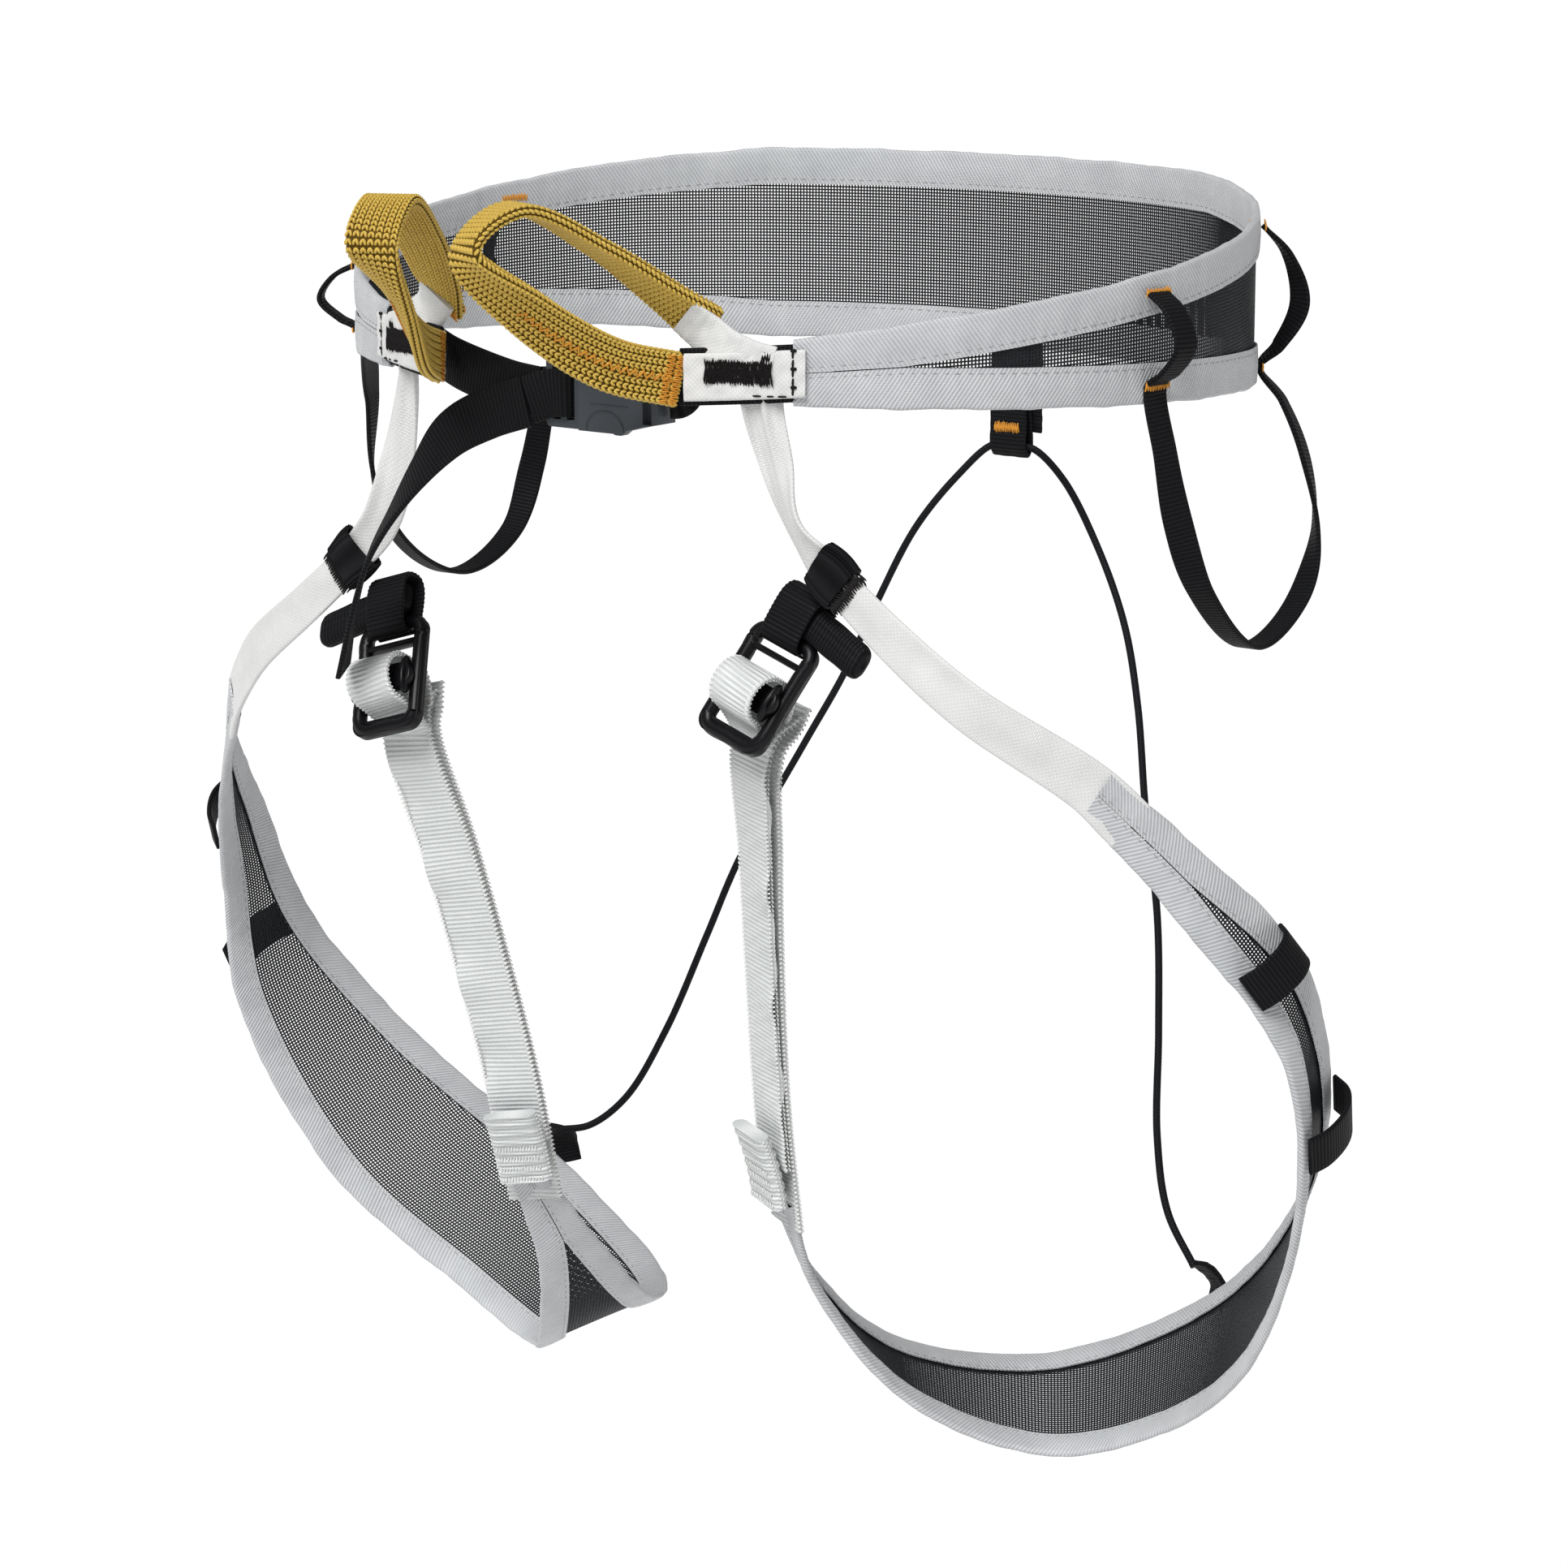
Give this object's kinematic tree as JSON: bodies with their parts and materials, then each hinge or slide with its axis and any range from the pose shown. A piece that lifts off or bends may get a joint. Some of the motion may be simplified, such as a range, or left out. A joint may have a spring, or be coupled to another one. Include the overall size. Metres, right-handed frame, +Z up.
{
  "type": "climbing harness",
  "caption": "Light climbing harness with a mesh waist belt, mesh leg loops, braided tie-in loops, a side-release waist buckle, sliding leg buckles and gear loops.",
  "frame": {"origin": "centre of the waist opening, at the mid-height of the belt's back", "axes": "+Z up along the wearer's spine, -Y to the wearer's front, +X to the wearer's left"},
  "size_m": [0.3956, 0.2834, 0.3656],
  "materials": {
    "mesh": "open black mesh cloth, see-through",
    "tape": "light grey folded binding tape, matte, edge stitched",
    "riser_webbing": "white flat webbing, matte",
    "adjuster_webbing": "pale grey cross-ribbed webbing",
    "gold_webbing": "gold braided webbing with a slight sheen",
    "black_webbing": "black ribbed webbing, matte",
    "elastic_cord": "black braided elastic cord",
    "grey_plastic": "slate grey moulded plastic, fine texture",
    "black_plastic": "black moulded plastic, satin"
  },
  "bodies": {
    "belt": {"belt_panel": "mesh", "belt_binding_top": "tape", "belt_binding_bottom": "tape", "tie_in_tab_left": "tape", "tie_in_tab_right": "tape", "tie_in_loop_left": "gold_webbing", "tie_in_loop_right": "gold_webbing", "gear_strap_front_left": "black_webbing", "gear_strap_front_right": "black_webbing", "gear_strap_rear_left": "black_webbing", "gear_strap_rear_right": "black_webbing", "buckle_female": "grey_plastic", "waist_strap_left": "black_webbing", "waist_strap_right": "black_webbing", "waist_strap_tail": "black_webbing", "rear_tab": "black_webbing", "elastic_cord_left": "elastic_cord", "elastic_cord_right": "elastic_cord"},
    "buckle_male": {"buckle_male": "grey_plastic"},
    "buckle_arm_upper": {"buckle_arm_upper": "grey_plastic"},
    "buckle_arm_lower": {"buckle_arm_lower": "grey_plastic"},
    "gear_left": {"gear_loop_left": "black_webbing"},
    "gear_right": {"gear_loop_right": "black_webbing"},
    "leg_left": {"leg_panel_left": "mesh", "leg_binding_lower_left": "tape", "leg_binding_upper_left": "tape", "leg_band_upper_left": "black_webbing", "leg_band_lower_left": "black_webbing", "riser_left": "riser_webbing", "riser_keeper_left": "black_webbing", "adjuster_strap_left": "adjuster_webbing", "adjuster_tail_left": "adjuster_webbing", "strap_end_left": "adjuster_webbing", "cord_tab_left": "black_webbing", "leg_buckle_frame_left": "black_plastic", "toggle_bar_left": "black_webbing", "toggle_strap_left": "black_webbing"},
    "leg_right": {"leg_panel_right": "mesh", "leg_binding_lower_right": "tape", "leg_binding_upper_right": "tape", "leg_band_upper_right": "black_webbing", "leg_band_lower_right": "black_webbing", "riser_right": "riser_webbing", "riser_keeper_right": "black_webbing", "adjuster_strap_right": "adjuster_webbing", "adjuster_tail_right": "adjuster_webbing", "strap_end_right": "adjuster_webbing", "cord_tab_right": "black_webbing", "leg_buckle_frame_right": "black_plastic", "toggle_bar_right": "black_webbing", "toggle_strap_right": "black_webbing"},
    "plate_left": {"leg_buckle_plate_left": "black_plastic", "adjuster_wrap_left": "adjuster_webbing"},
    "plate_right": {"leg_buckle_plate_right": "black_plastic", "adjuster_wrap_right": "adjuster_webbing"}
  },
  "joints": [
    {"name": "buckle_slide", "type": "slide", "parent": "belt", "child": "buckle_male", "axis": [-1, 0, 0], "range_m": [0, 0.024], "deforming": ["waist_strap_right", "waist_strap_tail"]},
    {"name": "buckle_arm_upper_squeeze", "type": "hinge", "parent": "buckle_male", "child": "buckle_arm_upper", "pos_m": [0.0073, -0.104, -0.0177], "axis": [0, 1, 0], "range_deg": [0, 6], "stiffness_Nm_per_rad": 0.02},
    {"name": "buckle_arm_lower_squeeze", "type": "hinge", "parent": "buckle_male", "child": "buckle_arm_lower", "pos_m": [0.0073, -0.104, -0.0283], "axis": [0, 1, 0], "range_deg": [-6, 0], "stiffness_Nm_per_rad": 0.02},
    {"name": "gear_loop_left_swing", "type": "hinge", "parent": "belt", "child": "gear_left", "pos_m": [0.134, -0.019, -0.0262], "axis": [0.121, -0.9912, 0.0545], "range_deg": [0, 60]},
    {"name": "gear_loop_right_swing", "type": "hinge", "parent": "belt", "child": "gear_right", "pos_m": [-0.134, -0.022, -0.0262], "axis": [0.116, 0.9919, -0.0521], "range_deg": [0, 60]},
    {"name": "leg_left_swing", "type": "hinge", "parent": "belt", "child": "leg_left", "pos_m": [0.058, -0.0985, -0.0235], "axis": [-0.9326, -0.361, 0], "range_deg": [-10, 45], "stiffness_Nm_per_rad": 0.05, "springref_deg": -4.01, "deforming": ["elastic_cord_left"]},
    {"name": "leg_right_swing", "type": "hinge", "parent": "belt", "child": "leg_right", "pos_m": [-0.058, -0.0985, -0.0235], "axis": [-0.9326, 0.361, 0], "range_deg": [-10, 45], "stiffness_Nm_per_rad": 0.05, "springref_deg": -4.01, "deforming": ["elastic_cord_right"]},
    {"name": "leg_buckle_left_slide", "type": "slide", "parent": "leg_left", "child": "plate_left", "axis": [0.2965, 0.4737, 0.8293], "range_m": [0, 0.002]},
    {"name": "leg_buckle_right_slide", "type": "slide", "parent": "leg_right", "child": "plate_right", "axis": [-0.2965, 0.4737, 0.8293], "range_m": [0, 0.002]}
  ],
  "couplings": [
    {"joint": "buckle_arm_lower_squeeze", "follows": "buckle_arm_upper_squeeze", "ratio": -1}
  ]
}
